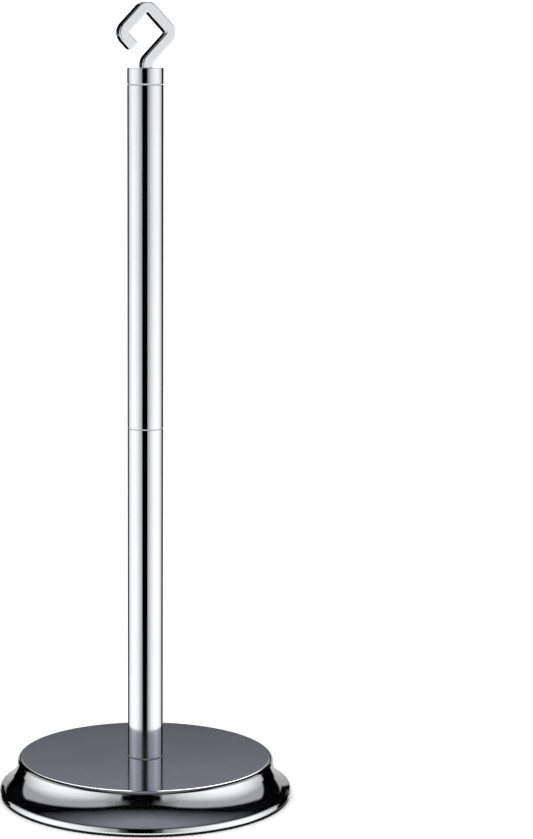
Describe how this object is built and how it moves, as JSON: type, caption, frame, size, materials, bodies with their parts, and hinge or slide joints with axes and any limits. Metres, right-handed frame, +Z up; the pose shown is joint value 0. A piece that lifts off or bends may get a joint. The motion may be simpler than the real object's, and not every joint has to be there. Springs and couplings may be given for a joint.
{
  "type": "free-standing paper roll holder",
  "caption": "Free-standing paper roll holder: weighted round base with a hollow-curved rim, sectional screwed pole and a cap with an open diamond hook.",
  "frame": {"origin": "on the pole's axis, at floor level under the middle of the base", "axes": "+Z up along the pole; the hook lies in the XZ plane, with its mouth towards -X"},
  "size_m": [0.199, 0.199, 0.5325],
  "materials": {
    "base_chrome": "mirror polished",
    "tube_chrome": "mirror polished",
    "cap_chrome": "mirror polished",
    "hook_chrome": "polished",
    "cast_iron": "as cast",
    "plate_steel": "zinc plated",
    "pad_rubber": "matt",
    "zinc_steel": "bright zinc",
    "spring_steel": "phosphated",
    "black_steel": "black oxide",
    "insert_steel": "turned, zinc plated",
    "dark_nylon": "satin",
    "pale_nylon": "satin"
  },
  "bodies": {
    "base": {"base_shell": "base_chrome", "ballast_disc": "cast_iron", "bottom_plate": "plate_steel", "anti_slip_pad": "pad_rubber", "base_bolt": "zinc_steel", "bolt_lock_washer": "spring_steel", "bolt_washer": "zinc_steel", "nut_washer": "zinc_steel", "base_nut": "zinc_steel"},
    "foot_ring": {"foot_washer": "dark_nylon"},
    "lower_pole": {"lower_tube": "tube_chrome", "lower_foot_insert": "insert_steel", "lower_top_insert": "insert_steel"},
    "mid_ring": {"mid_washer": "pale_nylon"},
    "upper_pole": {"upper_tube": "tube_chrome", "upper_foot_plug": "insert_steel", "joint_stud": "black_steel", "upper_top_insert": "insert_steel"},
    "cap_ring": {"cap_washer": "pale_nylon"},
    "finial": {"top_cap": "cap_chrome", "hook": "hook_chrome", "cap_lock_washer": "spring_steel", "cap_nut": "zinc_steel"}
  },
  "joints": [
    {"name": "foot_rise", "type": "slide", "parent": "base", "child": "foot_ring", "axis": [0, 0, 1], "range_m": [0, 0.01]},
    {"name": "foot_turn", "type": "hinge", "parent": "foot_ring", "child": "lower_pole", "pos_m": [0, 0, 0.0275], "axis": [0, 0, 1], "range_deg": [0, 2880]},
    {"name": "mid_rise", "type": "slide", "parent": "lower_pole", "child": "mid_ring", "axis": [0, 0, 1], "range_m": [0, 0.01]},
    {"name": "mid_turn", "type": "hinge", "parent": "mid_ring", "child": "upper_pole", "pos_m": [0, 0, 0.2535], "axis": [0, 0, 1], "range_deg": [0, 2880]},
    {"name": "cap_rise", "type": "slide", "parent": "upper_pole", "child": "cap_ring", "axis": [0, 0, 1], "range_m": [0, 0.008]},
    {"name": "cap_turn", "type": "hinge", "parent": "cap_ring", "child": "finial", "pos_m": [0, 0, 0.4797], "axis": [0, 0, 1], "range_deg": [0, 2880]}
  ],
  "couplings": [
    {"joint": "foot_rise", "follows": "foot_turn", "m_per_rad": 0.00019894},
    {"joint": "mid_rise", "follows": "mid_turn", "m_per_rad": 0.00019894},
    {"joint": "cap_rise", "follows": "cap_turn", "m_per_rad": 0.00015915}
  ]
}
